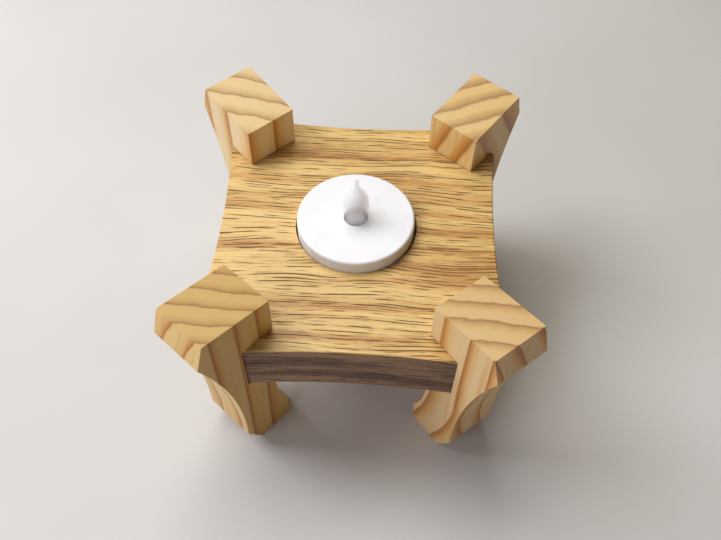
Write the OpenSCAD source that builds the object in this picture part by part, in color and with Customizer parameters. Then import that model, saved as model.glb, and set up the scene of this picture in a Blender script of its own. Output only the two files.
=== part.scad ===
// Small four-legged stand for one battery tea light: an oak top let into four
// sawn pine legs, with the tea light sitting loose in a round recess.
// Millimetres. The origin is on the table surface under the centre of the oak top,
// +X runs along the grain of the top, +Y points to the back and +Z points up.

/* [Oak top] */
// Length of the top along the grain, over its square corners
top_length = 96.4; // [80:0.1:120]
// Depth of the top across the grain, over its square corners
top_depth = 101; // [84:0.1:125]
// Thickness of the top board
top_thickness = 19.05; // [16:0.05:24]
// How far the middle of each side is sawn in from the straight line
edge_hollow = 2.9; // [0.5:0.1:6]
// Length sawn off each corner along the diagonal, where the corner seats in its leg
corner_cut = 11.4; // [6:0.1:16]

/* [Recess] */
// Gap between the tea light and the wall of the recess, when the light stands in its middle
recess_clearance = 0.75; // [0.4:0.05:2]
// Place of the hand-drilled recess, from the middle of the top
recess_place = [-0.45, 1.7]; // [-3:0.05:3]
// Radius of the dent that the drill's centre point leaves in the recess floor
drill_point_r = 1.5; // [0.5:0.1:2.5]
// Depth of that dent
drill_point_depth = 1.2; // [0.5:0.1:2]

/* [Legs] */
// Thickness of the leg board
leg_thickness = 19.05; // [14:0.05:24]
// Height of the top's upper face above the table
top_height = 58.7; // [48:0.1:72]
// How far each leg grips over and under the corner of the top
jaw_depth = 12.5; // [8:0.1:16]
// Gap above the top in the leg's notch, filled with glue on the real one
notch_gap = 0.25; // [0.1:0.05:0.8]
// Rise of the leg's block above the top, at its inner end
block_rise_inner = 14.6; // [8:0.1:20]
// Rise of the block at its outer edge, higher because the leg's head slopes inward
block_rise_outer = 18.3; // [12:0.1:26]
// Reach of the block's upper outer edge beyond the back of the notch
block_reach = 11.9; // [8:0.1:16]
// Reach of the pointed lip under the block's outer face
lip_reach = 14.9; // [10:0.1:20]
// Rise of that lip above the top
lip_rise = 9.3; // [5:0.1:12]
// Reach of the toe's corner beyond the back of the notch
toe_reach = 4.2; // [2:0.1:8]
// Height of the toe's corner above the table
toe_height = 9.4; // [5:0.1:14]
// Distance from the back of the notch in to the front end of the sole
sole_front_inset = 0.9; // [0:0.1:4]
// Distance in to the back end of the sole
sole_back_inset = 14.2; // [10:0.1:18]
// Distance in to the heel's corner
heel_inset = 15.3; // [11:0.1:19]
// Height of the heel's corner above the table
heel_height = 8; // [4:0.1:12]
// Depth of the long sawn hollow down the outside of the leg
outer_hollow = 3.3; // [1:0.1:6]
// Depth of the hollow on the inside of the leg, from the top down to the heel
inner_hollow = 3.1; // [1:0.1:5]
// Turn of each hand-set leg away from the top's diagonal: front left, front right, back right, back left
leg_turn = [4.1, -4.1, 4.9, 0.8]; // [-8:0.1:8]
// Sideways shift of each leg, in the same order
leg_shift = [-2, 2.7, -2.9, -0.8]; // [-4:0.1:4]

/* [Tea light] */
// Diameter of the tea light's housing
light_diameter = 38.7; // [35:0.1:46]
// Height of the housing without its bulb
light_height = 17.5; // [14:0.1:21]
// Height that the housing stands out of the recess
light_proud = 4.7; // [3:0.1:10]
// Gap left where the loose light leans towards the wall of its recess
light_lean_gap = 0.13; // [0.1:0.01:0.4]
// Direction that the loose light leans in, turned from the right towards the back
light_lean = 256; // [0:1:359]
// Wall of the housing
housing_wall = 1.2; // [0.8:0.1:1.6]
// Roof of the housing
housing_roof = 1.4; // [1:0.1:2]
// Radius of the rounded edge round the roof
housing_edge = 0.9; // [0.3:0.1:1.3]
// Step inside the housing that its base seats against
housing_step = 0.8; // [0.5:0.1:1.2]
// Height of the rim that keeps the base off the recess floor
foot_rim = 0.8; // [0.6:0.1:1.5]
// Thickness of the base
base_thickness = 1.4; // [1:0.1:2]
// Gap between plastic pieces that are fixed together
plastic_gap = 0.1; // [0.05:0.01:0.2]
// Gap round plastic pieces that move
sliding_gap = 0.15; // [0.1:0.01:0.3]

/* [Flame bulb] */
// Room between the lamp's flange and the inside of the bulb
led_room = 0.3; // [0.1:0.1:1]
// How much the bulb swells beyond its neck
bulb_bulge = 0.5; // [0.2:0.1:2]
// Height of the largest radius above the housing
bulb_belly_height = 5.9; // [3:0.1:8]
// Height of the bulb's dome above the housing
bulb_dome_height = 13; // [10:0.1:13.5]
// Height over which the dome sweeps up into the wick tip
bulb_tip_sweep = 3.8; // [1:0.1:4.4]
// Height of the wick tip above the housing
bulb_tip_height = 17.6; // [17:0.1:28]
// Radius of the wick tip
bulb_tip_r = 0.9; // [0.5:0.05:1.2]
// Wall of the bulb
bulb_wall = 0.7; // [0.4:0.1:0.8]
// Width of the flange that holds the bulb under the roof
bulb_flange = 1.7; // [1:0.1:3]
// Thickness of that flange
bulb_flange_thickness = 1; // [0.6:0.1:1.5]

/* [Electrical parts] */
// Diameter of the coin cell
cell_diameter = 20; // [16:0.1:24]
// Thickness of the coin cell
cell_thickness = 3.2; // [1.6:0.1:3.6]
// Gap round the coin cell in its bay
cell_gap = 0.3; // [0.2:0.05:0.6]
// Wall of the battery bay
bay_wall = 0.9; // [0.6:0.1:1.2]
// Height of the chamber above the base that the cover's lugs turn in
lug_chamber = 1.4; // [1.1:0.1:2]
// Width of the ledge that the cover's lugs hook over
lug_ledge = 0.9; // [0.6:0.1:1.4]
// Angle that one lug spans
lug_angle = 26; // [15:1:40]
// Turn of the battery cover from locked to free
cover_turn = 40; // [32:1:60]
// Length of the coin slot in the battery cover
coin_slot_length = 12; // [6:0.5:15]
// Width of the coin slot
coin_slot_width = 1.8; // [1:0.1:2.5]
// Depth of that slot
coin_slot_depth = 0.6; // [0.3:0.1:0.8]
// Room over the cell for the spring contact
spring_room = 0.9; // [0.6:0.1:1.5]
// Radius of the lamp's flange
led_flange_r = 2.8; // [2:0.1:2.9]
// Radius of the lamp's lens
led_lens_r = 2.45; // [1.5:0.05:2.5]
// Height of the lamp
led_height = 8.6; // [5:0.1:9]
// Thickness of the lamp's flange
led_flange_thickness = 1; // [0.6:0.1:1.5]
// Distance between the lamp's two leads
lead_pitch = 2.54; // [2:0.01:3]
// Radius of a lead
lead_r = 0.25; // [0.2:0.05:0.4]
// Thickness of the sheet metal contacts
contact_thickness = 0.3; // [0.2:0.05:0.5]
// Width of the sheet metal contacts
contact_width = 3; // [2:0.1:4]
// Travel of the switch from off to on
switch_travel = 2; // [1:0.1:2.5]
// Length of the switch knob along its travel
knob_length = 3.4; // [2.5:0.1:4]
// Width of the lip on each side that keeps the knob in its slot
knob_lip = 0.4; // [0.2:0.1:0.5]
// Length of the shoulder at each end of the knob's slide
knob_shoulder = 0.8; // [0.5:0.1:1.2]
// How far the knob stands out of the base, inside the foot rim
knob_proud = 0.5; // [0.2:0.1:0.5]
// Length of each raised finger of the switch contact
finger_length = 1; // [0.6:0.1:1.4]
// Rise of those fingers
finger_rise = 0.3; // [0.1:0.1:0.5]
// Thickness of the knob's inner slide
knob_slide = 0.8; // [0.6:0.1:1]

/* [Hidden] */

oak = [0.80, 0.60, 0.33];
pine = [0.87, 0.70, 0.42];
white_plastic = [0.94, 0.94, 0.93];
black_plastic = [0.08, 0.08, 0.08];
frosted = [0.88, 0.87, 0.86];
steel = [0.75, 0.76, 0.78];
brass = [0.80, 0.66, 0.34];

fine = 96;        // facets on small round pieces
sweep_fn = 360;   // facets on the long sawn hollows
dome_steps = 6;   // points along the dome of the bulb's outline
over = 1;         // how far a cutter runs past the face it opens
lead_gap = 0.4;   // room round the lamp's leads

top_bottom = top_height - top_thickness;
corner_angle = atan2(top_depth, top_length);
corner_radius = norm([top_length, top_depth]) / 2;
notch_radius = corner_radius - corner_cut;
corner_directions = [180 + corner_angle, 360 - corner_angle, corner_angle, 180 - corner_angle];

light_r = light_diameter / 2;
recess_depth = light_height - light_proud;
recess_floor = top_height - recess_depth;
dent_depth = min(drill_point_depth, (top_thickness - recess_depth) / 2);
light_place = recess_place + (recess_clearance - light_lean_gap) * [cos(light_lean), sin(light_lean)];

base_r = light_r - housing_wall;
base_top = foot_rim + base_thickness;
roof_under = light_height - housing_roof;

cell_r = cell_diameter / 2;
cell_room_r = cell_r + cell_gap;
cover_r = cell_r + 1;
cover_hole_r = cover_r + sliding_gap;
lug_r = cover_hole_r + lug_ledge;
lug_room_r = lug_r + sliding_gap;
bay_r = lug_room_r + bay_wall;
lug_room_top = base_top + lug_chamber;
cover_ring_top = lug_room_top - 2 * sliding_gap;
cell_bottom = cover_ring_top + plastic_gap;
cell_top = cell_bottom + cell_thickness;
bay_ceiling = cell_top + spring_room;
bay_top = bay_ceiling + bay_wall;

bulb_neck_r = led_flange_r + led_room + bulb_wall;
bulb_belly_r = bulb_neck_r + bulb_bulge;
bulb_foot = roof_under - bulb_flange_thickness;
dome_end = 64;                // the angle at which the dome turns up into the sweep
sweep_foot = bulb_belly_height + (bulb_dome_height - bulb_belly_height) * sin(dome_end);
led_seat = bulb_foot - lead_gap;
post_bore_r = lead_pitch / 2 + lead_r + lead_gap;
lead_drop = bay_top + 1.4;    // where the two leads bend away from the post
leaf_x = 1 - cell_r;          // the upright end of the spring contact

slide_length = knob_length + 2 * knob_shoulder;
slide_sweep = (slide_length + switch_travel) / 2;
slide_inner_x = bay_r + sliding_gap;
slide_outer_x = sqrt(pow(base_r - housing_step, 2) - pow(slide_sweep, 2)) - sliding_gap;
slide_width = slide_outer_x - slide_inner_x;
switch_x = (slide_inner_x + slide_outer_x) / 2;
knob_width = slide_width - 2 * knob_lip;
slide_bottom = base_top + sliding_gap / 2;
slide_top = slide_bottom + knob_slide;
finger_top = slide_top + contact_thickness + finger_rise;
foot_height = finger_top + plastic_gap;
positive_y = 0.2;             // the near edge of the fixed contact's foot
lead_foot_y = slide_sweep - finger_length / 2;

// Radius of an arc from its chord and its depth
function arc_radius(chord, depth) = (chord * chord / 4 + depth * depth) / (2 * depth);

// Radius of the sweep from the dome up into the wick tip, from t = 0 at the dome to t = 1
function sweep_r(t) = bulb_tip_r + (bulb_belly_r * cos(dome_end) - bulb_tip_r) * pow(1 - t, 2);

// Points of the bulb's outline, from its neck up to the foot of the wick tip, moved out by grow
function bulb_points(grow) = [
    for (t = [0 : 0.2 : 1]) [
        bulb_neck_r + grow + bulb_bulge * t * (2 - t),
        bulb_belly_height * t
    ],
    for (i = [1 : dome_steps], a = [dome_end * i / dome_steps]) [
        (bulb_belly_r + grow) * cos(a),
        bulb_belly_height + (bulb_dome_height + grow - bulb_belly_height) * sin(a)
    ]
];

// Moves its children from a leg's own frame to where leg number i stands.
// In that frame X runs outward along the leg and starts at the back of the notch.
module at_leg(i) {
    rotate([0, 0, corner_directions[i] + leg_turn[i]])
        translate([notch_radius, leg_shift[i], 0])
            children();
}

// A cylinder that saws a hollow of the given depth between two points of the leg's outline
module sawn_hollow(p, q, depth) {
    chord = norm(q - p);
    r = arc_radius(chord, depth);
    side = [q[1] - p[1], p[0] - q[0]] / chord;
    centre = (p + q) / 2 + side * (r - depth);
    translate([centre[0], 0, centre[1]])
        rotate([90, 0, 0])
            cylinder(h = leg_thickness + 2 * over, r = r, center = true, $fn = sweep_fn);
}

module leg() {
    lip = [lip_reach, top_height + lip_rise];
    toe = [toe_reach, toe_height];
    heel = [-heel_inset, heel_height];
    under_top = [-jaw_depth, top_bottom];
    color(pine)
        difference() {
            rotate([90, 0, 0])
                linear_extrude(leg_thickness, center = true)
                    polygon([
                        [-jaw_depth, top_height + block_rise_inner],
                        under_top,
                        heel,
                        [-sole_back_inset, 0],
                        [-sole_front_inset, 0],
                        toe,
                        lip,
                        [block_reach, top_height + block_rise_outer]
                    ]);
            sawn_hollow(toe, lip, outer_hollow);
            sawn_hollow(under_top, heel, inner_hollow);
            translate([-jaw_depth - over, -leg_thickness / 2 - over, top_bottom])
                cube([jaw_depth + over, leg_thickness + 2 * over, top_thickness + notch_gap]);
        }
}

module front_left_leg() {
    at_leg(0) leg();
}

module front_right_leg() {
    at_leg(1) leg();
}

module back_right_leg() {
    at_leg(2) leg();
}

module back_left_leg() {
    at_leg(3) leg();
}

// The cylinder that saws one side of the top hollow, for a side at the given distance
module side_saw(angle, distance, corner_to_corner) {
    r = arc_radius(corner_to_corner, edge_hollow);
    rotate([0, 0, angle])
        translate([distance - edge_hollow + r, 0, top_bottom - over])
            cylinder(h = top_thickness + 2 * over, r = r, $fn = sweep_fn);
}

module top_plate() {
    color(oak)
        difference() {
            translate([-top_length / 2, -top_depth / 2, top_bottom])
                cube([top_length, top_depth, top_thickness]);
            for (angle = [0, 180])
                side_saw(angle, top_length / 2, top_depth - corner_cut);
            for (angle = [90, 270])
                side_saw(angle, top_depth / 2, top_length - corner_cut);
            for (i = [0 : 3])
                at_leg(i)
                    translate([0, -top_depth / 2, top_bottom - over])
                        cube([corner_radius, top_depth, top_thickness + 2 * over]);
            translate([recess_place[0], recess_place[1], recess_floor])
                cylinder(h = recess_depth + over, r = light_r + recess_clearance, $fn = 2 * fine);
            translate([recess_place[0], recess_place[1], recess_floor - dent_depth])
                cylinder(h = recess_depth, r = drill_point_r, $fn = fine);
        }
}

// Moves its children from the tea light's own frame to where it sits in the recess
module at_light() {
    translate([light_place[0], light_place[1], recess_floor])
        children();
}

module light_housing() {
    inner_r = base_r - housing_step;
    hole_r = bulb_neck_r + plastic_gap;
    color(white_plastic)
        at_light()
            rotate_extrude($fn = 2 * fine)
                polygon(concat(
                    [
                        [base_r, 0],
                        [light_r, 0]
                    ],
                    [
                        for (a = [0 : 15 : 90]) [
                            light_r - housing_edge + housing_edge * cos(a),
                            light_height - housing_edge + housing_edge * sin(a)
                        ]
                    ],
                    [
                        [hole_r, light_height],
                        [hole_r, roof_under],
                        [inner_r, roof_under],
                        [inner_r, base_top],
                        [base_r, base_top]
                    ]
                ));
}

// A block as wide as the switch slot needs, at the given height
module switch_slot() {
    slot_length = knob_length + switch_travel + 2 * sliding_gap;
    slot_width = knob_width + 2 * sliding_gap;
    translate([switch_x - slot_width / 2, -slot_length / 2, foot_rim - over])
        cube([slot_width, slot_length, base_thickness + 2 * over]);
}

// A sector of a ring, centred on the given direction
module ring_sector(direction, angle, inner, outer, height) {
    rotate([0, 0, direction - angle / 2])
        rotate_extrude(angle = angle, $fn = fine)
            translate([inner, 0])
                square([outer - inner, height]);
}

module light_base() {
    contact_slot = contact_width + 2 * plastic_gap;
    color(white_plastic)
        at_light()
            difference() {
                union() {
                    translate([0, 0, foot_rim])
                        cylinder(h = base_thickness, r = base_r - plastic_gap, $fn = 2 * fine);
                    translate([0, 0, base_top - bay_wall])
                        cylinder(h = bay_top - base_top + bay_wall, r = bay_r, $fn = fine);
                    translate([0, 0, bay_top - bay_wall])
                        cylinder(
                            h = led_seat - bay_top + bay_wall,
                            r = bulb_neck_r - plastic_gap,
                            $fn = fine
                        );
                }
                translate([0, 0, foot_rim - over])
                    cylinder(h = base_top - foot_rim + 2 * over, r = cover_hole_r, $fn = fine);
                translate([0, 0, base_top])
                    cylinder(h = lug_chamber, r = lug_room_r, $fn = fine);
                translate([0, 0, lug_room_top - over])
                    cylinder(h = bay_ceiling - lug_room_top + over, r = cell_room_r, $fn = fine);
                for (side = [0, 180])
                    translate([0, 0, foot_rim - over])
                        ring_sector(side + cover_turn, lug_angle + 4, cover_r - over, lug_room_r,
                            base_thickness + 2 * over);
                translate([0, 0, bay_ceiling - over])
                    cylinder(h = led_seat, r = post_bore_r, $fn = fine);
                translate([-light_r, -lead_r - lead_gap, bay_top])
                    cube([light_diameter, 2 * (lead_r + lead_gap), lead_drop + lead_r + lead_gap - bay_top]);
                translate([cell_r - plastic_gap, -contact_slot / 2, cell_bottom])
                    cube([contact_thickness + 2 * plastic_gap, contact_slot, bay_top]);
                translate([leaf_x - plastic_gap, -contact_slot / 2, bay_ceiling - over])
                    cube([contact_thickness + 2 * plastic_gap, contact_slot, bay_top]);
                switch_slot();
            }
}

module battery_cover() {
    ring_r = cell_r - 0.5;
    ring_width = 2;
    color(white_plastic)
        at_light()
            difference() {
                union() {
                    translate([0, 0, foot_rim])
                        cylinder(h = base_thickness, r = cover_r, $fn = fine);
                    translate([0, 0, foot_rim])
                        cylinder(h = cover_ring_top - foot_rim, r = ring_r, $fn = fine);
                    for (side = [0, 180])
                        translate([0, 0, base_top + sliding_gap])
                            ring_sector(side, lug_angle, ring_r - ring_width / 2, lug_r,
                                cover_ring_top - base_top - sliding_gap);
                }
                translate([0, 0, base_top])
                    cylinder(h = lug_chamber, r = ring_r - ring_width, $fn = fine);
                translate([-coin_slot_length / 2, -coin_slot_width / 2, foot_rim - over])
                    cube([coin_slot_length, coin_slot_width, coin_slot_depth + over]);
            }
}

module coin_cell() {
    cap_rise = 0.35;
    cap_inset = 1.1;
    color(steel)
        at_light()
            translate([0, 0, cell_bottom])
                union() {
                    cylinder(h = cell_thickness - cap_rise, r = cell_r, $fn = fine);
                    cylinder(h = cell_thickness, r = cell_r - cap_inset, $fn = fine);
                }
}

module flame_bulb() {
    flange_r = bulb_neck_r + bulb_flange;
    inner_r = bulb_neck_r - bulb_wall;
    color(frosted)
        at_light()
            union() {
                rotate_extrude($fn = fine)
                    polygon(concat(
                        [
                            [inner_r, bulb_foot],
                            [flange_r, bulb_foot],
                            [flange_r, roof_under],
                            [bulb_neck_r, roof_under]
                        ],
                        [for (p = bulb_points(0)) [p[0], light_height + p[1]]],
                        [
                            for (t = [0.2 : 0.2 : 1])
                                [sweep_r(t), light_height + sweep_foot + bulb_tip_sweep * t]
                        ],
                        [
                            [bulb_tip_r, light_height + bulb_tip_height - bulb_tip_r],
                            [0, light_height + bulb_tip_height - bulb_tip_r],
                            [0, light_height + bulb_dome_height - bulb_wall]
                        ],
                        [
                            for (p = reverse_list(bulb_points(-bulb_wall)))
                                [p[0], light_height + p[1]]
                        ]
                    ));
                translate([0, 0, light_height + bulb_tip_height - bulb_tip_r])
                    sphere(r = bulb_tip_r, $fn = fine / 2);
            }
}

// The same list from its end to its start
function reverse_list(list) = [for (i = [len(list) - 1 : -1 : 0]) list[i]];

module led_lamp() {
    color("lightyellow")
        at_light()
            translate([0, 0, led_seat])
                union() {
                    cylinder(h = led_flange_thickness, r = led_flange_r, $fn = fine);
                    cylinder(h = led_height - led_lens_r, r = led_lens_r, $fn = fine);
                    translate([0, 0, led_height - led_lens_r])
                        sphere(r = led_lens_r, $fn = fine);
                }
}

// A round wire through the given points, with ball-shaped bends
module wire(points) {
    for (i = [0 : len(points) - 2]) {
        step = points[i + 1] - points[i];
        length = norm(step);
        translate(points[i])
            rotate([0, acos(step[2] / length), atan2(step[1], step[0])])
                cylinder(h = length, r = lead_r, $fn = 24);
    }
    for (i = [1 : len(points) - 2])
        translate(points[i])
            sphere(r = lead_r, $fn = 24);
}

module led_lead_positive() {
    color(steel)
        at_light()
            wire([
                [lead_pitch / 2, 0, led_seat],
                [lead_pitch / 2, 0, lead_drop],
                [switch_x, 0, lead_drop],
                [switch_x, lead_foot_y, lead_drop],
                [switch_x, lead_foot_y, foot_height]
            ]);
}

module led_lead_negative() {
    color(steel)
        at_light()
            wire([
                [-lead_pitch / 2, 0, led_seat],
                [-lead_pitch / 2, 0, lead_drop],
                [leaf_x + contact_thickness, 0, lead_drop]
            ]);
}

module positive_contact() {
    outside_x = bay_r + plastic_gap;
    color(brass)
        at_light()
            union() {
                translate([cell_r, -contact_width / 2, cell_bottom])
                    cube([contact_thickness, contact_width, bay_top - cell_bottom + contact_thickness]);
                translate([cell_r, -contact_width / 2, bay_top])
                    cube([outside_x - cell_r + contact_thickness, contact_width, contact_thickness]);
                translate([outside_x, -contact_width / 2, foot_height])
                    cube([contact_thickness, contact_width / 2 + positive_y, bay_top - foot_height
                        + contact_thickness]);
                translate([outside_x, -contact_width / 2, foot_height])
                    cube([switch_x - outside_x, contact_width / 2 + positive_y, contact_thickness]);
            }
}

module negative_contact() {
    under = bay_ceiling - contact_thickness;
    dip = 3.5;      // half length of the sprung dip that presses on the cell
    tip = 0.5;      // half length of its flat bottom
    color(brass)
        at_light()
            union() {
                translate([leaf_x, -contact_width / 2, under])
                    cube([contact_thickness, contact_width, lead_drop + 2 * lead_r - under]);
                rotate([90, 0, 0])
                    linear_extrude(contact_width, center = true)
                        polygon([
                            [leaf_x, under],
                            [-dip, under],
                            [-tip, cell_top],
                            [tip, cell_top],
                            [dip, under],
                            [dip, bay_ceiling],
                            [tip, cell_top + contact_thickness],
                            [-tip, cell_top + contact_thickness],
                            [-dip, bay_ceiling],
                            [leaf_x, bay_ceiling]
                        ]);
            }
}

module switch_knob() {
    color(black_plastic)
        at_light()
            translate([switch_x, -switch_travel / 2, 0])
                union() {
                    translate([-knob_width / 2, -knob_length / 2, foot_rim - knob_proud])
                        cube([knob_width, knob_length, slide_top - foot_rim + knob_proud]);
                    translate([-slide_width / 2, -slide_length / 2, slide_bottom])
                        cube([slide_width, slide_length, knob_slide]);
                }
}

module switch_contact() {
    color(brass)
        at_light()
            translate([switch_x, -switch_travel / 2, slide_top])
                union() {
                    translate([-knob_width / 2, -slide_length / 2, 0])
                        cube([knob_width, slide_length, contact_thickness]);
                    for (y = [-slide_length / 2, slide_length / 2 - finger_length])
                        translate([-knob_width / 2, y, 0])
                            cube([knob_width, finger_length, finger_top - slide_top]);
                }
}

top_plate();
front_left_leg();
front_right_leg();
back_right_leg();
back_left_leg();
light_housing();
light_base();
battery_cover();
coin_cell();
flame_bulb();
led_lamp();
led_lead_positive();
led_lead_negative();
positive_contact();
negative_contact();
switch_knob();
switch_contact();
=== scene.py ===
import math
import bpy
from mathutils import Matrix, Vector


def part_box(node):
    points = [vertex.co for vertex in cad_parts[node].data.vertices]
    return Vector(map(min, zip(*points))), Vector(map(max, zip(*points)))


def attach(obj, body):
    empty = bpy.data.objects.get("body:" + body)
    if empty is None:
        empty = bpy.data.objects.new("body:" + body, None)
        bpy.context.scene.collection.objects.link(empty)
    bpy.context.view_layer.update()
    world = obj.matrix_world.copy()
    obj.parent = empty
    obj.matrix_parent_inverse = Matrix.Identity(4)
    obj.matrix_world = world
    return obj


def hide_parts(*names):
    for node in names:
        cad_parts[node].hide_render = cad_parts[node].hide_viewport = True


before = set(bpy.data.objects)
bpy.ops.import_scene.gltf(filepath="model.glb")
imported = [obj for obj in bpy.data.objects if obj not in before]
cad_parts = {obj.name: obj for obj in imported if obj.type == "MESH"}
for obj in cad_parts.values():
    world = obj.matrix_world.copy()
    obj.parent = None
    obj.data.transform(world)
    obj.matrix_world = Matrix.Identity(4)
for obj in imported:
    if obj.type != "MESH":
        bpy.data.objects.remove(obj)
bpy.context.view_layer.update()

# ---------------------------------------------------------------------------
# Oak top
# A square of planed red oak board, wiped with satin oil. Its four sides are
# band-sawn hollow, two of them across the grain, its corners are sawn off to
# seat in the legs, and the drilled recess has the bit's dent in its middle.
# ---------------------------------------------------------------------------
MM = 0.001
top_length = 96.4 * MM
top_depth = 101 * MM
edge_hollow = 2.9 * MM
corner_cut = 11.4 * MM
recess_r = 20.1 * MM
recess_place = Vector((-0.45 * MM, 1.7 * MM, 0))
drill_point_r = 3 * MM
drill_point_height = 3 * MM
drill_point_depth = 1.2 * MM
top_ease = 0.5 * MM
crisp_ease = 0.12 * MM
leg_turn = [4.1, -4.1, 4.9, 0.8]

top_low, top_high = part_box("top_plate")
top_thickness = top_high.z - top_low.z
recess_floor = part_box("light_housing")[0].z
corner_angle = math.atan2(top_depth, top_length)
corner_r = math.hypot(top_length, top_depth) / 2
notch_r = corner_r - corner_cut
leg_angles = [
    math.pi + corner_angle + math.radians(leg_turn[0]),
    -corner_angle + math.radians(leg_turn[1]),
    corner_angle + math.radians(leg_turn[2]),
    math.pi - corner_angle + math.radians(leg_turn[3]),
]


def only(piece):
    """Selects this piece alone and makes it the active one."""
    bpy.ops.object.select_all(action="DESELECT")
    piece.select_set(True)
    bpy.context.view_layer.objects.active = piece


def settle(piece):
    """Writes the piece's place and turn into its mesh, so that its object sits at the origin."""
    only(piece)
    bpy.ops.object.transform_apply(location=True, rotation=True, scale=True)


def block(name, low, high):
    """A square-cut block of stock between two corners."""
    bpy.ops.object.select_all(action="DESELECT")
    middle = (Vector(low) + Vector(high)) / 2
    bpy.ops.mesh.primitive_cube_add(size=1, location=middle, scale=Vector(high) - Vector(low))
    piece = bpy.context.object
    piece.name = name
    settle(piece)
    return piece


def drum(name, centre, radius, length, sides, along="Z"):
    """A round cutter with its middle at the centre."""
    bpy.ops.object.select_all(action="DESELECT")
    turn = (math.pi / 2, 0, 0) if along == "Y" else (0, 0, 0)
    bpy.ops.mesh.primitive_cylinder_add(
        vertices=sides, radius=radius, depth=length, location=centre, rotation=turn)
    piece = bpy.context.object
    piece.name = name
    settle(piece)
    return piece


def cut(piece, tool):
    """Saws or drills the tool's shape out of the piece."""
    only(piece)
    saw = piece.modifiers.new("cut", "BOOLEAN")
    saw.operation = "DIFFERENCE"
    saw.solver = "EXACT"
    saw.object = tool
    bpy.ops.object.modifier_apply(modifier="cut")
    bpy.data.objects.remove(tool)


def ease_edges(piece, width, sharper_than, segments=3):
    """Rounds every edge sharper than the angle, as sandpaper does."""
    only(piece)
    bpy.ops.object.mode_set(mode="EDIT")
    bpy.ops.mesh.select_all(action="SELECT")
    bpy.ops.mesh.remove_doubles(threshold=0.01 * MM)
    bpy.ops.mesh.dissolve_limited(angle_limit=math.radians(0.05))
    bpy.ops.object.mode_set(mode="OBJECT")
    ease = piece.modifiers.new("ease", "BEVEL")
    ease.width = width
    ease.segments = segments
    ease.limit_method = "ANGLE"
    ease.angle_limit = math.radians(sharper_than)
    bpy.ops.object.modifier_apply(modifier="ease")


def smooth(piece, up_to=35):
    """Shades gentle angles smooth, and keeps broad faces looking flat beside their eased edges."""
    only(piece)
    bpy.ops.object.shade_smooth_by_angle(angle=math.radians(up_to))
    weigh = piece.modifiers.new("weigh", "WEIGHTED_NORMAL")
    weigh.keep_sharp = True
    bpy.ops.object.modifier_apply(modifier="weigh")


def hollow_r(chord, depth):
    """Radius of the sawn arc that leaves a hollow of this depth over the chord."""
    return (chord * chord / 4 + depth * depth) / (2 * depth)


def add(tree, kind, inputs=None, **options):
    """Adds a shader node, sets its options, and links or sets its inputs."""
    made = tree.nodes.new("ShaderNode" + kind)
    for option, value in options.items():
        setattr(made, option, value)
    for socket, value in (inputs or {}).items():
        if isinstance(value, bpy.types.NodeSocket):
            tree.links.new(value, made.inputs[socket])
        else:
            made.inputs[socket].default_value = value
    return made


def calc(tree, operation, a, b=0.0, c=0.0):
    """A Math node's result."""
    return add(tree, "Math", {0: a, 1: b, 2: c}, operation=operation).outputs[0]


def ramp(tree, value, stops):
    """A colour for each value, from (place, colour) stops."""
    made = add(tree, "ValToRGB", {0: value})
    points = made.color_ramp.elements
    while len(points) < len(stops):
        points.new(0.5)
    for point, (place, colour) in zip(points, stops):
        point.position = place
        point.color = (colour, colour, colour, 1) if isinstance(colour, float) else (*colour, 1)
    return made.outputs[0]


def blend(tree, amount, below, above, how="MIX"):
    """Mixes two colours."""
    made = add(tree, "Mix", {0: amount, 6: below, 7: above}, data_type="RGBA", blend_type=how)
    return made.outputs[2]


def grain(tree, place, scale, detail=2.0, roughness=0.5):
    """Noise in the piece's own millimetres, drawn out where the scale is small."""
    stretched = add(tree, "Mapping", {0: place, 3: scale}).outputs[0]
    noise = add(tree, "TexNoise", {"Vector": stretched, "Scale": 1.0, "Detail": detail,
                                   "Roughness": roughness})
    return noise.outputs[0]


def new_finish(name):
    """An empty material, its node tree, its surface shader and its places in millimetres."""
    material = bpy.data.materials.new(name)
    material.use_nodes = True
    tree = material.node_tree
    tree.nodes.clear()
    shader = add(tree, "BsdfPrincipled")
    output = add(tree, "OutputMaterial")
    tree.links.new(shader.outputs[0], output.inputs[0])
    own = add(tree, "TexCoord").outputs["Object"]
    place = add(tree, "VectorMath", {0: own, 3: 1000.0}, operation="SCALE").outputs[0]
    return material, tree, shader, place


def dent(tree, shader, height, depth_mm):
    """Turns a height into surface relief of this depth in millimetres."""
    relief = add(tree, "Bump", {"Strength": 1.0, "Distance": depth_mm * MM, "Height": height})
    tree.links.new(relief.outputs[0], shader.inputs["Normal"])


def dashes(tree, along, cell, reach, edge):
    """Short thin marks scattered along X, one to a cell, as wide as reach allows."""
    cells = add(tree, "Mapping", {0: along, 3: cell}).outputs[0]
    spots = add(tree, "TexVoronoi", {"Vector": cells, "Scale": 1.0, "Randomness": 1.0})
    chance = add(tree, "SeparateXYZ", {0: spots.outputs["Color"]}).outputs[0]
    reach = calc(tree, "MULTIPLY_ADD", chance, 0.16, reach)
    beyond = calc(tree, "SUBTRACT", spots.outputs["Distance"], reach)
    return ramp(tree, beyond, [(0.0, 1.0), (edge, 0.0)])


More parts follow.
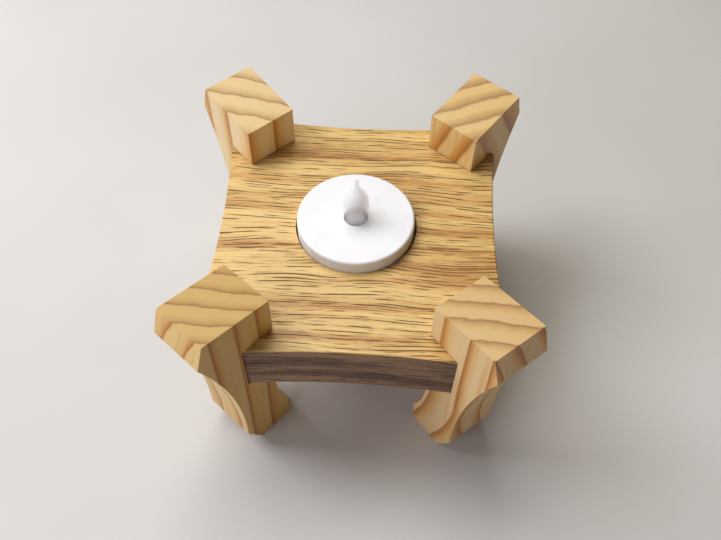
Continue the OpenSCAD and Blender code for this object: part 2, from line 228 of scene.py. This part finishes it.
def pore_rows(tree, along, apart, length, half_width, share):
    """Rows of long thin pores along X, each row broken into dashes of uneven length.

    The rows are apart millimetres from each other, length is the dashes' usual length, and a
    bigger share makes them longer and closer together.
    """
    x, y, z = add(tree, "SeparateXYZ", {0: along}).outputs
    across = calc(tree, "MULTIPLY", calc(tree, "ADD", y, z), 1 / apart)
    row = calc(tree, "FLOOR", across)
    offset = add(tree, "TexWhiteNoise", {"W": row}, noise_dimensions="1D").outputs[0]
    middle = calc(tree, "MULTIPLY_ADD", offset, 0.5, 0.25)
    off_line = calc(tree, "ABSOLUTE", calc(tree, "SUBTRACT", calc(tree, "FRACT", across), middle))
    spot = add(tree, "CombineXYZ", {0: calc(tree, "DIVIDE", x, length),
                                    1: calc(tree, "MULTIPLY", row, 7.31)}).outputs[0]
    run = grain(tree, spot, (1.0, 1.0, 1.0), 1.0, 0.6)
    swell = calc(tree, "SUBTRACT", calc(tree, "ADD", run, share), 0.5)
    swell = calc(tree, "MINIMUM", calc(tree, "MULTIPLY", swell, 8.0), 1.0)
    thin = calc(tree, "DIVIDE", off_line, half_width / apart)
    return ramp(tree, calc(tree, "SUBTRACT", swell, thin), [(0.0, 0.0), (0.35, 1.0)])


def oak_wood(name, gold, tan, brown, pore, rough, sawn):
    """Red oak with its grain along X: soft wavy bands, and long open pores in rows.

    Sawn is how deep the upright marks of the band saw are, and 0 leaves the wood planed.
    """
    material, tree, shader, place = new_finish(name)
    drift = calc(tree, "SUBTRACT", grain(tree, place, (0.02, 0.045, 0.045), 1.0), 0.5)
    ripple = calc(tree, "SUBTRACT", grain(tree, place, (0.05, 0.4, 0.4), 1.0), 0.5)
    drift = calc(tree, "MULTIPLY_ADD", ripple, 0.08, drift)
    shift = add(tree, "CombineXYZ", {1: calc(tree, "MULTIPLY", drift, 6.0),
                                     2: calc(tree, "MULTIPLY", drift, 4.0)}).outputs[0]
    along = add(tree, "VectorMath", {0: place, 1: shift}, operation="ADD").outputs[0]
    bands = grain(tree, along, (0.008, 0.17, 0.17), 2.0, 0.5)
    streaks = grain(tree, along, (0.012, 1.5, 1.5), 2.0, 0.5)
    fibre = grain(tree, along, (0.06, 5.0, 5.0), 2.0, 0.6)
    colour = ramp(tree, bands, [(0.43, gold), (0.53, tan), (0.61, brown)])
    colour = blend(tree, ramp(tree, streaks, [(0.46, 0.0), (0.72, 0.55)]), colour, (*brown, 1))
    colour = blend(tree, ramp(tree, fibre, [(0.40, 0.0), (0.75, 0.40)]), colour, (*gold, 1))
    crowd = calc(tree, "MULTIPLY_ADD", bands, 0.30, -0.15)
    long_pores = pore_rows(tree, along, 1.38, 13.0, 0.20, calc(tree, "ADD", crowd, 0.06))
    fine_pores = pore_rows(tree, along, 0.83, 8.0, 0.13, calc(tree, "MULTIPLY_ADD", crowd, 1.4, -0.02))
    short_pores = dashes(tree, along, (0.16, 3.4, 3.4), calc(tree, "ADD", crowd, 0.05), 0.12)
    pores = calc(tree, "MAXIMUM", long_pores, calc(tree, "MULTIPLY", fine_pores, 0.7))
    pores = calc(tree, "MAXIMUM", pores, calc(tree, "MULTIPLY", short_pores, 0.3))
    colour = blend(tree, calc(tree, "MULTIPLY", pores, 0.94), colour, (*pore, 1))
    tree.links.new(colour, shader.inputs["Base Color"])
    gloss = calc(tree, "MULTIPLY_ADD", fibre, 0.12, rough)
    tree.links.new(calc(tree, "MULTIPLY_ADD", pores, 0.3, gloss), shader.inputs["Roughness"])
    height = calc(tree, "MULTIPLY_ADD", pores, -1.0, calc(tree, "MULTIPLY", fibre, 0.25))
    if sawn:
        marks = grain(tree, place, (2.2, 2.2, 0.10), 2.0, 0.6)
        height = calc(tree, "MULTIPLY_ADD", marks, sawn, height)
    dent(tree, shader, height, 0.10)
    return material


def oak_end_grain(name, early, late, between, ray, hole):
    """Oak cut across its grain: arched growth rings, open holes that crowd where a ring starts,
    pale upright rays and the marks of the band saw."""
    material, tree, shader, place = new_finish(name)
    ring_spacing = 4.2
    ring_arch = 160
    sway = calc(tree, "SUBTRACT", grain(tree, place, (0.02, 0.045, 0.045), 1.0), 0.5)
    x, y, z = add(tree, "SeparateXYZ", {0: place}).outputs
    arch = calc(tree, "MULTIPLY_ADD", calc(tree, "MULTIPLY", y, y), -1 / ring_arch, z)
    across = calc(tree, "MULTIPLY_ADD", sway, 6.0, arch)
    rings = calc(tree, "FRACT", calc(tree, "MULTIPLY", across, 1 / ring_spacing))
    cells = add(tree, "Mapping", {0: place, 3: (0.3, 2.6, 2.6)}).outputs[0]
    spots = add(tree, "TexVoronoi", {"Vector": cells, "Scale": 1.0, "Randomness": 1.0})
    crowd = ramp(tree, rings, [(0.0, 0.42), (0.35, 0.16), (0.85, 0.14), (1.0, 0.34)])
    beyond = calc(tree, "SUBTRACT", spots.outputs["Distance"], crowd)
    holes = ramp(tree, beyond, [(0.0, 1.0), (0.12, 0.0)])
    rays = ramp(tree, grain(tree, place, (0.3, 3.0, 0.12), 2.0, 0.5), [(0.55, 0.0), (0.68, 0.5)])
    colour = ramp(tree, rings, [(0.0, early), (0.4, late), (1.0, between)])
    colour = blend(tree, rays, colour, (*ray, 1))
    colour = blend(tree, calc(tree, "MULTIPLY", holes, 0.8), colour, (*hole, 1))
    tree.links.new(colour, shader.inputs["Base Color"])
    shader.inputs["Roughness"].default_value = 0.7
    saw_marks = grain(tree, place, (0.3, 0.10, 2.2), 2.0, 0.6)
    dent(tree, shader, calc(tree, "MULTIPLY_ADD", holes, -1.0, saw_marks), 0.12)
    return material


oak_face = oak_wood("oak_face", gold=(0.70, 0.475, 0.165), tan=(0.58, 0.345, 0.098),
                    brown=(0.44, 0.205, 0.045), pore=(0.12, 0.05, 0.012), rough=0.36, sawn=0)
# The sawn long-grain sides: rough, with upright saw marks and darker than the planed face, and their
# colours darkened further with painted shade.
oak_sawn_painted_shade = oak_wood("oak_sawn_painted_shade", gold=(0.31, 0.18, 0.095), tan=(0.20, 0.112, 0.058),
                    brown=(0.115, 0.060, 0.030), pore=(0.045, 0.023, 0.012), rough=0.62, sawn=1.4)
oak_end = oak_end_grain("oak_end", early=(0.125, 0.066, 0.033), late=(0.215, 0.125, 0.066),
                        between=(0.17, 0.094, 0.048), ray=(0.30, 0.19, 0.11),
                        hole=(0.045, 0.023, 0.012))

top = block("oak_top", (-top_length / 2, -top_depth / 2, top_low.z),
            (top_length / 2, top_depth / 2, top_high.z))
middle_z = (top_low.z + top_high.z) / 2
for distance, chord, out in ((top_length / 2, top_depth - corner_cut, Vector((1, 0, 0))),
                             (top_depth / 2, top_length - corner_cut, Vector((0, 1, 0)))):
    for side in (-1, 1):
        radius = hollow_r(chord, edge_hollow)
        centre = out * side * (distance - edge_hollow + radius)
        centre.z = middle_z
        cut(top, drum("side_saw", centre, radius, 2 * top_thickness, 720))
ease_edges(top, top_ease, 28)
for i in range(4):
    waste = block("corner_waste", (notch_r, -top_depth / 2, top_low.z - top_thickness),
                  (corner_r + 10 * MM, top_depth / 2, top_high.z + top_thickness))
    waste.rotation_euler.z = leg_angles[i]
    settle(waste)
    cut(top, waste)
drill_height = 2 * (top_high.z - recess_floor)
drill_middle = recess_place + Vector((0, 0, recess_floor + drill_height / 2))
cut(top, drum("drill", drill_middle, recess_r, drill_height, 192))
bpy.ops.object.select_all(action="DESELECT")
point_z = recess_floor - drill_point_depth + drill_point_height / 2
bpy.ops.mesh.primitive_cone_add(
    vertices=48, radius1=0.1 * MM, radius2=drill_point_r, depth=drill_point_height,
    location=recess_place + Vector((0, 0, point_z)))
drill_point = bpy.context.object
settle(drill_point)
cut(top, drill_point)
ease_edges(top, crisp_ease, 50, 2)
smooth(top)
for wood in (oak_face, oak_sawn_painted_shade, oak_end):
    top.data.materials.append(wood)
# Upright outer faces get the end grain where they cross the grain, and elsewhere the sawn long grain
# with its painted shade.
for face in top.data.polygons:
    outside = (face.center - recess_place).xy.length > recess_r + 2 * MM
    if outside and abs(face.normal.z) < 0.5:
        across_grain = abs(face.normal.x) > abs(face.normal.y)
        face.material_index = 2 if across_grain else 1
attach(top, "stand")
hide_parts("top_plate")

# ---------------------------------------------------------------------------
# Legs
# Four pine legs sawn from planed board, the grain upright and the edges sanded.
# Each has a notch that the top's corner is glued into, a head that slopes
# inward, a long hollow down the outside and a small one inside above the heel.
# ---------------------------------------------------------------------------
leg_thickness = 19.05 * MM
leg_shift = [-2 * MM, 2.7 * MM, -2.9 * MM, -0.8 * MM]
jaw_depth = 12.5 * MM
notch_gap = 0.25 * MM
head_inner = top_high.z + 14.6 * MM
head_outer = top_high.z + 18.3 * MM
head_reach = 11.9 * MM
lip = Vector((14.9 * MM, 0, top_high.z + 9.3 * MM))
toe = Vector((4.2 * MM, 0, 9.4 * MM))
sole_front = -0.9 * MM
sole_back = -14.2 * MM
heel = Vector((-15.3 * MM, 0, 8 * MM))
outer_hollow = 3.3 * MM
inner_hollow = 3.1 * MM
leg_ease = 0.45 * MM


def plane_off(piece, point, normal):
    """Planes the piece flat through the point, taking off what lies on the normal's side."""
    only(piece)
    bpy.ops.object.mode_set(mode="EDIT")
    bpy.ops.mesh.select_all(action="SELECT")
    bpy.ops.mesh.bisect(plane_co=point, plane_no=normal, use_fill=True, clear_outer=True)
    bpy.ops.object.mode_set(mode="OBJECT")


def plane_between(piece, p, q, inside):
    """Planes the piece flat along the line from p to q in its side view, keeping the inside point."""
    run = q - p
    normal = Vector((run.z, 0, -run.x)).normalized()
    if normal.dot(inside - p) > 0:
        normal = -normal
    plane_off(piece, p, normal)


def saw_hollow(piece, p, q, depth, inside):
    """Saws a hollow of the given depth along the line from p to q in the piece's side view."""
    run = q - p
    out = Vector((run.z, 0, -run.x)).normalized()
    if out.dot(inside - p) > 0:
        out = -out
    radius = hollow_r(run.length, depth)
    centre = (p + q) / 2 + out * (radius - depth)
    cut(piece, drum("hollow_saw", centre, radius, 2 * leg_thickness, 720, along="Y"))


def pine_wood(name, run, line, spacing, sense, lean, bend, late, soft, tone):
    """Pine with upright grain and growth rings that run at an angle, seen from above.

    Run is their angle from X in degrees. Line is where one ring ends, in millimetres across the
    rings, spacing is from ring to ring, and sense is the side that its dark late wood lies on. The
    rings lean in the head and bend inward towards the foot. Late is the dark share of a ring, soft
    the share over which its sharp side fades, and tone tints the leg.
    """
    material, tree, shader, place = new_finish(name)
    head_height = 75.0
    lean_depth = 25.0
    foot_height = 34
    x, y, z = add(tree, "SeparateXYZ", {0: place}).outputs
    across = calc(tree, "MULTIPLY", y, math.cos(math.radians(run)))
    across = calc(tree, "MULTIPLY_ADD", x, -math.sin(math.radians(run)), across)
    wander = calc(tree, "SUBTRACT", grain(tree, place, (0.045, 0.045, 0.006), 1.0), 0.5)
    ripple = calc(tree, "SUBTRACT", grain(tree, place, (0.17, 0.17, 0.012), 2.0), 0.5)
    across = calc(tree, "MULTIPLY_ADD", wander, 2.5, across)
    across = calc(tree, "MULTIPLY_ADD", ripple, 2.2, across)
    below_head = calc(tree, "MINIMUM", calc(tree, "SUBTRACT", head_height, z), lean_depth)
    across = calc(tree, "MULTIPLY_ADD", below_head, -lean, across)
    to_foot = calc(tree, "MAXIMUM", calc(tree, "MULTIPLY_ADD", z, -1 / foot_height, 1.0), 0.0)
    across = calc(tree, "MULTIPLY_ADD", calc(tree, "MULTIPLY", to_foot, to_foot), -bend, across)
    ring = calc(tree, "MULTIPLY", calc(tree, "SUBTRACT", line, across), sense / spacing)
    ring = calc(tree, "FRACT", ring)
    end_colours = ((0.62, 0.42, 0.165), (0.53, 0.335, 0.11), (0.44, 0.25, 0.07), (0.31, 0.155, 0.045))
    long_colours = ((0.79, 0.57, 0.27), (0.71, 0.445, 0.15), (0.59, 0.27, 0.055), (0.41, 0.145, 0.024))
    shades = {}
    flow = grain(tree, place, (0.45, 0.45, 0.014), 2.0, 0.5)
    fibre = grain(tree, place, (2.4, 2.4, 0.05), 3.0, 0.65)
    specks = grain(tree, place, (3.0, 3.0, 0.3), 2.0, 0.7)
    for side, marks, (cream, straw, honey, rust) in (("end", specks, end_colours),
                                                     ("long", fibre, long_colours)):
        shade = ramp(tree, ring, [(0.0, rust), (soft, straw), (3 * soft, cream), (0.5, cream),
                                  (1 - 2 * late, straw), (1 - late, honey), (1 - 0.35 * late, rust)])
        if side == "long":
            shade = blend(tree, ramp(tree, flow, [(0.56, 0.0), (0.70, 0.45)]), shade, (*honey, 1))
        shades[side] = blend(tree, ramp(tree, marks, [(0.35, 0.0), (0.75, 0.38)]), shade, (*straw, 1))
    facing = add(tree, "SeparateXYZ", {0: add(tree, "TexCoord").outputs["Normal"]}).outputs[2]
    end_grain = ramp(tree, calc(tree, "ABSOLUTE", facing), [(0.35, 0.0), (0.7, 1.0)])
    colour = blend(tree, end_grain, shades["long"], shades["end"])
    colour = blend(tree, 1.0, colour, (*tone, 1), "MULTIPLY")
    tree.links.new(colour, shader.inputs["Base Color"])
    gloss = calc(tree, "MULTIPLY_ADD", fibre, 0.16, 0.34)
    tree.links.new(gloss, shader.inputs["Roughness"])
    sanding = grain(tree, place, (1.2, 1.2, 1.2), 2.0, 0.6)
    height = calc(tree, "MULTIPLY_ADD", sanding, 0.3, calc(tree, "MULTIPLY", fibre, 0.6))
    dent(tree, shader, height, 0.06)
    return material


inside = Vector((-5 * MM, 0, 40 * MM))
half_thickness = leg_thickness / 2
spare = 5 * MM
crown = Vector((head_reach, 0, head_outer))
pattern = block("leg_pattern", (heel.x, -half_thickness, 0), (lip.x, half_thickness, head_outer))
plane_between(pattern, Vector((-jaw_depth, 0, head_inner)), crown, inside)
plane_between(pattern, crown, lip, inside)
plane_between(pattern, toe, Vector((sole_front, 0, 0)), inside)
plane_between(pattern, Vector((sole_back, 0, 0)), heel, inside)
cut(pattern, block("jaw_waste", (heel.x - spare, -leg_thickness, top_low.z),
                   (-jaw_depth, leg_thickness, head_outer + spare)))
saw_hollow(pattern, toe, lip, outer_hollow, inside)
saw_hollow(pattern, Vector((-jaw_depth, 0, top_low.z)), heel, inner_hollow, inside)
ease_edges(pattern, leg_ease, 28)
cut(pattern, block("notch_waste", (-jaw_depth - spare, -leg_thickness, top_low.z),
                   (0, leg_thickness, top_high.z + notch_gap)))
ease_edges(pattern, crisp_ease, 50, 2)
smooth(pattern)

# Each leg's run, line, spacing, sense, lean, bend, late, soft and tone
for i, (name, *rings) in enumerate([
    ("front_left_leg", 1, -44.2, 6.4, 1, 0.0, 0.0, 0.11, 0.022, (0.91, 0.85, 0.66)),
    ("front_right_leg", -8, -45.7, 6.8, -1, 0.0, 4.9, 0.13, 0.022, (0.99, 0.95, 1.0)),
    ("back_right_leg", 19, 29.9, 7.8, 1, 0.3, 0.0, 0.20, 0.05, (1.0, 0.97, 0.88)),
    ("back_left_leg", -5, 39.0, 7.9, 1, 0.0, 0.0, 0.13, 0.03, (1.10, 1.15, 1.32)),
]):
    only(pattern)
    bpy.ops.object.duplicate()
    leg = bpy.context.object
    leg.name = "pine_" + name
    angle = leg_angles[i]
    leg.rotation_euler.z = angle
    leg.location = (notch_r * math.cos(angle) - leg_shift[i] * math.sin(angle),
                    notch_r * math.sin(angle) + leg_shift[i] * math.cos(angle), 0)
    settle(leg)
    leg.data.materials.append(pine_wood(name + "_pine", *rings))
    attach(leg, "stand")
    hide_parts(name)
bpy.data.objects.remove(pattern)

# ---------------------------------------------------------------------------
# Tea light housing
# An injection-moulded cup of white plastic, open below, with a rounded top
# edge and a hole for the bulb. It drops loose into the drilled recess.
# ---------------------------------------------------------------------------
housing_low, housing_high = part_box("light_housing")
axis = (housing_low + housing_high) / 2
light_r = (housing_high.x - housing_low.x) / 2
light_top = housing_high.z
light_foot = housing_low.z
housing_wall = 1.2 * MM
housing_roof = 1.4 * MM
housing_edge = 0.9 * MM
foot_edge = 0.3 * MM
hole_edge = 0.25 * MM
housing_step = 0.8 * MM
base_top = 2.2 * MM
bulb_neck_r = 3.8 * MM
bulb_hole_r = 3.9 * MM


def arc(centre_r, centre_z, radius, start, end, steps):
    """Points of an arc in a turned outline, its angles in degrees from straight outward."""
    points = []
    for i in range(steps + 1):
        angle = math.radians(start + (end - start) * i / steps)
        points.append((centre_r + radius * math.cos(angle), centre_z + radius * math.sin(angle)))
    return points


def turned(name, outline, steps):
    """Spins an outline of (radius, height) points round the tea light's axis into a closed solid."""
    bpy.ops.object.select_all(action="DESELECT")
    start = Vector((outline[0][0], 0, outline[0][1]))
    bpy.ops.mesh.primitive_plane_add(size=MM, location=(0, 0, 0))
    piece = bpy.context.object
    piece.name = name
    bpy.ops.object.mode_set(mode="EDIT")
    bpy.ops.mesh.merge(type="CENTER")
    bpy.ops.mesh.select_mode(type="VERT")
    bpy.ops.mesh.select_all(action="SELECT")
    bpy.ops.transform.translate(value=start)
    for (r0, z0), (r1, z1) in zip(outline, outline[1:]):
        bpy.ops.mesh.extrude_vertices_move(TRANSFORM_OT_translate={"value": (r1 - r0, 0, z1 - z0)})
    bpy.ops.mesh.select_all(action="SELECT")
    bpy.ops.mesh.spin(steps=steps, angle=2 * math.pi, center=(0, 0, 0), axis=(0, 0, 1))
    bpy.ops.mesh.select_all(action="SELECT")
    bpy.ops.mesh.remove_doubles(threshold=0.001 * MM)
    bpy.ops.mesh.select_all(action="SELECT")
    bpy.ops.mesh.normals_make_consistent(inside=False)
    bpy.ops.object.mode_set(mode="OBJECT")
    piece.location = (axis.x, axis.y, 0)
    settle(piece)
    smooth(piece, 32)
    return piece


def moulded_plastic(name, colour, rough, glow=0.0):
    """Moulded plastic with a faint cloudiness and a fine spark-eroded texture."""
    material, tree, shader, place = new_finish(name)
    cloud = grain(tree, place, (0.12, 0.12, 0.12), 3.0, 0.6)
    cloudy = tuple(c * 0.94 for c in colour)
    tint = ramp(tree, cloud, [(0.3, cloudy), (0.7, colour)])
    tree.links.new(tint, shader.inputs["Base Color"])
    fine = grain(tree, place, (6.0, 6.0, 6.0), 2.0, 0.6)
    tree.links.new(calc(tree, "MULTIPLY_ADD", fine, 0.12, rough), shader.inputs["Roughness"])
    shader.inputs["IOR"].default_value = 1.46
    shader.inputs["Subsurface Weight"].default_value = glow
    shader.inputs["Subsurface Radius"].default_value = (1.0, 0.95, 0.9)
    shader.inputs["Subsurface Scale"].default_value = 0.8 * MM
    dent(tree, shader, fine, 0.01)
    return material


white_plastic = moulded_plastic("white_plastic", (0.82, 0.82, 0.825), 0.38, glow=0.15)
bore_r = light_r - housing_wall
inner_r = bore_r - housing_step
roof_under = light_top - housing_roof
step_z = light_foot + base_top
outline = [(bore_r, light_foot), (light_r - foot_edge, light_foot)]
outline += arc(light_r - foot_edge, light_foot + foot_edge, foot_edge, -90, 0, 3)
outline += arc(light_r - housing_edge, light_top - housing_edge, housing_edge, 0, 90, 8)
outline += arc(bulb_hole_r + hole_edge, light_top - hole_edge, hole_edge, 90, 180, 4)
outline += [(bulb_hole_r, roof_under), (inner_r, roof_under), (inner_r, step_z),
            (bore_r, step_z), (bore_r, light_foot)]
housing = turned("tea_light_housing", outline, 160)
housing.data.materials.append(white_plastic)
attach(housing, "tea_light")
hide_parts("light_housing")

# ---------------------------------------------------------------------------
# Flame bulb
# A thin-walled flame of frosted soft plastic, pushed up through the housing's
# hole until its flange stops it. A short wick tip stands on its dome.
# ---------------------------------------------------------------------------
bulb_low, bulb_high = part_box("flame_bulb")
flange_r = (bulb_high.x - bulb_low.x) / 2
bulb_foot = bulb_low.z
belly_r = 4.3 * MM
belly_z = light_top + 5.9 * MM
dome_z = light_top + 13 * MM
dome_end = math.radians(64)
sweep = 3.8 * MM
stem_r = 0.74 * MM
tip_r = 0.9 * MM
bulb_wall = 0.7 * MM


def flame_outline(grow):
    """The bulb's side from its neck to where its dome turns up into the stem, moved out by grow."""
    points = []
    neck_steps = 8
    dome_steps = 12
    dome_height = dome_z + grow - belly_z
    for i in range(neck_steps + 1):
        rise = i / neck_steps
        points.append((bulb_neck_r + grow + (belly_r - bulb_neck_r) * rise * (2 - rise),
                       light_top + (belly_z - light_top) * rise))
    for i in range(1, dome_steps + 1):
        angle = dome_end * i / dome_steps
        points.append(((belly_r + grow) * math.cos(angle), belly_z + dome_height * math.sin(angle)))
    return points


outer_side = flame_outline(0)
inner_side = flame_outline(-bulb_wall)
outline = [(bulb_neck_r - bulb_wall, bulb_foot), (flange_r, bulb_foot), (flange_r, roof_under),
           (bulb_neck_r, roof_under)]
outline += outer_side
end_r, end_z = outer_side[-1]
sweep_steps = 8
for i in range(1, sweep_steps + 1):
    rise = i / sweep_steps
    outline.append((stem_r + (end_r - stem_r) * (1 - rise) ** 2, end_z + sweep * rise))
outline += arc(0, bulb_high.z - tip_r, tip_r, -math.degrees(math.acos(stem_r / tip_r)), 90, 9)
outline += [(0, inner_side[-1][1] + 0.1 * MM)]
outline += list(reversed(inner_side))
outline += [(bulb_neck_r - bulb_wall, bulb_foot)]
bulb = turned("frosted_bulb", outline, 64)

frosted, tree, shader, place = new_finish("frosted_plastic_painted_shade")
# The bulb's colour is painted shade by height: grey-violet at the foot for the shaded inside of its
# base, bright over the middle, and a little darker towards the tip.
height_up = add(tree, "SeparateXYZ", {0: place}).outputs[2]
painted_shade_noise = grain(tree, place, (0.5, 0.5, 0.22), 3.0, 0.6)
painted_shade_height = calc(tree, "SUBTRACT", height_up, light_top / MM)
painted_shade_height = calc(tree, "MULTIPLY_ADD", painted_shade_noise, 1.6, painted_shade_height)
colour = ramp(tree, calc(tree, "DIVIDE", painted_shade_height, 20.0),
              [(0.03, (0.70, 0.67, 0.72)), (0.11, (0.93, 0.91, 0.96)), (0.2, (0.99, 0.98, 1.0)),
               (0.82, (0.99, 0.98, 1.0)), (0.92, (0.82, 0.80, 0.84))])
tree.links.new(colour, shader.inputs["Base Color"])
fine = grain(tree, place, (4.0, 4.0, 4.0), 2.0, 0.6)
tree.links.new(calc(tree, "MULTIPLY_ADD", fine, 0.15, 0.30), shader.inputs["Roughness"])
shader.inputs["IOR"].default_value = 1.3
shader.inputs["Alpha"].default_value = 0.3
dent(tree, shader, fine, 0.02)
bulb.data.materials.append(frosted)
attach(bulb, "tea_light")
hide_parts("flame_bulb")

# ---------------------------------------------------------------------------
# Lamp
# A 5 mm light-emitting diode in clear, nearly colourless resin, with a flange
# and a domed lens. It stands on the base's post, inside the bulb.
# ---------------------------------------------------------------------------
lamp_low, lamp_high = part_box("led_lamp")
lamp_flange_r = (lamp_high.x - lamp_low.x) / 2
lens_r = 2.45 * MM
lamp_flange = 1 * MM
lamp_edge = 0.15 * MM
flange_top = lamp_low.z + lamp_flange
outline = [(0, lamp_low.z), (lamp_flange_r, lamp_low.z), (lamp_flange_r, flange_top - lamp_edge)]
outline += [(lamp_flange_r - lamp_edge, flange_top), (lens_r, flange_top)]
outline += arc(0, lamp_high.z - lens_r, lens_r, 0, 90, 10)
lamp = turned("lamp_resin", outline, 48)
resin, tree, shader, place = new_finish("clear_resin")
cloud = grain(tree, place, (0.6, 0.6, 0.6), 2.0)
tree.links.new(ramp(tree, cloud, [(0.3, (0.93, 0.89, 0.76)), (0.7, (0.97, 0.95, 0.88))]),
               shader.inputs["Base Color"])
shader.inputs["Roughness"].default_value = 0.12
shader.inputs["IOR"].default_value = 1.5
shader.inputs["Alpha"].default_value = 0.3
lamp.data.materials.append(resin)
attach(lamp, "tea_light")
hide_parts("led_lamp")

# ---------------------------------------------------------------------------
# Base
# A moulded white plate snapped into the housing's foot. It carries the round
# battery bay, the lamp's post and the slot for the switch.
# ---------------------------------------------------------------------------
def refinish(name, material):
    """Gives a part that keeps its own shape its real finish."""
    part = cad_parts[name]
    part.data.materials.clear()
    part.data.materials.append(material)


refinish("light_base", white_plastic)

# ---------------------------------------------------------------------------
# Battery cover
# A round cover of the same white plastic, with a coin slot underneath and two
# lugs that lock over the base's ledge when it is turned.
# ---------------------------------------------------------------------------
refinish("battery_cover", white_plastic)

# ---------------------------------------------------------------------------
# Coin cell
# A 20 mm lithium cell: a drawn steel can, crimped over a grey gasket onto the
# smaller negative cap, which faces up.
# ---------------------------------------------------------------------------
cell_low, cell_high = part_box("coin_cell")
cell_r = (cell_high.x - cell_low.x) / 2
cap_r = cell_r - 1.1 * MM
cap_height = 0.35 * MM
can_edge = 0.3 * MM
crimp_edge = 0.5 * MM
cap_edge = 0.2 * MM
crimp_top = cell_high.z - cap_height
outline = [(0, cell_low.z)]
outline += arc(cell_r - can_edge, cell_low.z + can_edge, can_edge, -90, 0, 4)
outline += arc(cell_r - crimp_edge, crimp_top - crimp_edge, crimp_edge, 0, 90, 4)
outline += [(cap_r + 0.1 * MM, crimp_top)]
outline += arc(cap_r - cap_edge, cell_high.z - cap_edge, cap_edge, 0, 90, 3)
outline += [(0, cell_high.z)]
cell = turned("steel_coin_cell", outline, 96)


def metal(name, colour, rough, brushed):
    """Bare metal with fine brush lines and a little tarnish."""
    material, tree, shader, place = new_finish(name)
    tarnish = grain(tree, place, (0.4, 0.4, 0.4), 3.0, 0.6)
    dull = tuple(c * 0.8 for c in colour)
    tree.links.new(ramp(tree, tarnish, [(0.35, dull), (0.65, colour)]), shader.inputs["Base Color"])
    lines = grain(tree, place, brushed, 2.0, 0.6)
    tree.links.new(calc(tree, "MULTIPLY_ADD", lines, 0.2, rough), shader.inputs["Roughness"])
    shader.inputs["Metallic"].default_value = 1.0
    dent(tree, shader, lines, 0.008)
    return material


cell.data.materials.append(metal("cell_steel", (0.66, 0.67, 0.69), 0.22, (0.2, 8.0, 2.0)))
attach(cell, "tea_light")
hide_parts("coin_cell")

# ---------------------------------------------------------------------------
# Contacts and leads
# Spring contacts stamped from thin brass sheet, and the lamp's two tinned
# steel leads. They are pushed into slots in the base and soldered.
# ---------------------------------------------------------------------------
brass = metal("contact_brass", (0.78, 0.60, 0.27), 0.25, (2.0, 0.2, 6.0))
tinned = metal("tinned_wire", (0.74, 0.74, 0.75), 0.30, (5.0, 5.0, 0.4))
for name in ("positive_contact", "negative_contact", "switch_contact"):
    refinish(name, brass)
for name in ("led_lead_positive", "led_lead_negative"):
    refinish(name, tinned)

# ---------------------------------------------------------------------------
# Switch knob
# A small black moulded slide that shows through the slot in the base.
# ---------------------------------------------------------------------------
refinish("switch_knob", moulded_plastic("black_plastic", (0.03, 0.03, 0.032), 0.4))

# ---------------------------------------------------------------------------
# Floor, light and camera
# A plain pale paper floor, four soft lamps and a camera looking down at the
# stand from the front. The window and the ceiling give most of the light, the
# room fills in from the front left, and a warm wall glows weakly at the right.
# ---------------------------------------------------------------------------
bpy.ops.object.select_all(action="DESELECT")
bpy.ops.mesh.primitive_plane_add(size=6, location=(0, 0, 0))
floor = bpy.context.object
floor.name = "floor"
paper, tree, shader, place = new_finish("pale_paper")
tone = grain(tree, place, (0.01, 0.01, 0.01), 2.0)
tree.links.new(ramp(tree, tone, [(0.3, (0.58, 0.565, 0.535)), (0.7, (0.62, 0.605, 0.575))]),
               shader.inputs["Base Color"])
shader.inputs["Roughness"].default_value = 0.9
floor.data.materials.append(paper)


def soft_lamp(name, place, aim, size, power, colour):
    """A square soft box at the place, turned to the aim."""
    data = bpy.data.lights.new(name, "AREA")
    data.shape = "SQUARE"
    data.size = size
    data.energy = power
    data.color = colour
    lamp_object = bpy.data.objects.new(name, data)
    bpy.context.scene.collection.objects.link(lamp_object)
    lamp_object.location = place
    lamp_object.rotation_euler = (Vector(aim) - Vector(place)).to_track_quat("-Z", "Y").to_euler()


middle = Vector((0, 0, top_high.z))
soft_lamp("window", (-0.52, 0.12, 0.66), middle, 0.46, 5.2, (0.92, 0.94, 1.0))
soft_lamp("ceiling", (-0.15, 0.34, 0.86), middle, 0.5, 4.6, (1.0, 0.97, 0.91))
soft_lamp("room", (-0.45, -0.50, 0.34), middle, 0.5, 2.3, (0.84, 0.86, 1.0))
soft_lamp("warm_wall", (0.50, -0.20, 0.36), middle, 0.4, 0.25, (1.0, 0.70, 0.34))
world = bpy.data.worlds.new("studio")
world.use_nodes = True
world.node_tree.nodes["Background"].inputs[0].default_value = (1.0, 0.90, 0.72, 1)
world.node_tree.nodes["Background"].inputs[1].default_value = 0.03
bpy.context.scene.world = world
bpy.context.scene.view_settings.view_transform = "Standard"

pitch = math.radians(53.81)
yaw = math.radians(-1.83)
roll = math.radians(1.25)
camera_distance = 240.9 * MM
target = Vector((1.85 * MM, -17.03 * MM, top_high.z))
forward = Vector((math.sin(yaw) * math.cos(pitch), math.cos(yaw) * math.cos(pitch), -math.sin(pitch)))
right = Vector((math.cos(yaw), -math.sin(yaw), 0))
up = right.cross(forward)
camera_data = bpy.data.cameras.new("camera")
camera_data.lens = 37.8
camera_data.clip_start = 0.01
camera = bpy.data.objects.new("camera", camera_data)
bpy.context.scene.collection.objects.link(camera)
rolled_right = right * math.cos(roll) + up * math.sin(roll)
rolled_up = up * math.cos(roll) - right * math.sin(roll)
camera.rotation_euler = Matrix((rolled_right, rolled_up, -forward)).transposed().to_euler()
camera.location = target - forward * camera_distance
bpy.context.scene.camera = camera
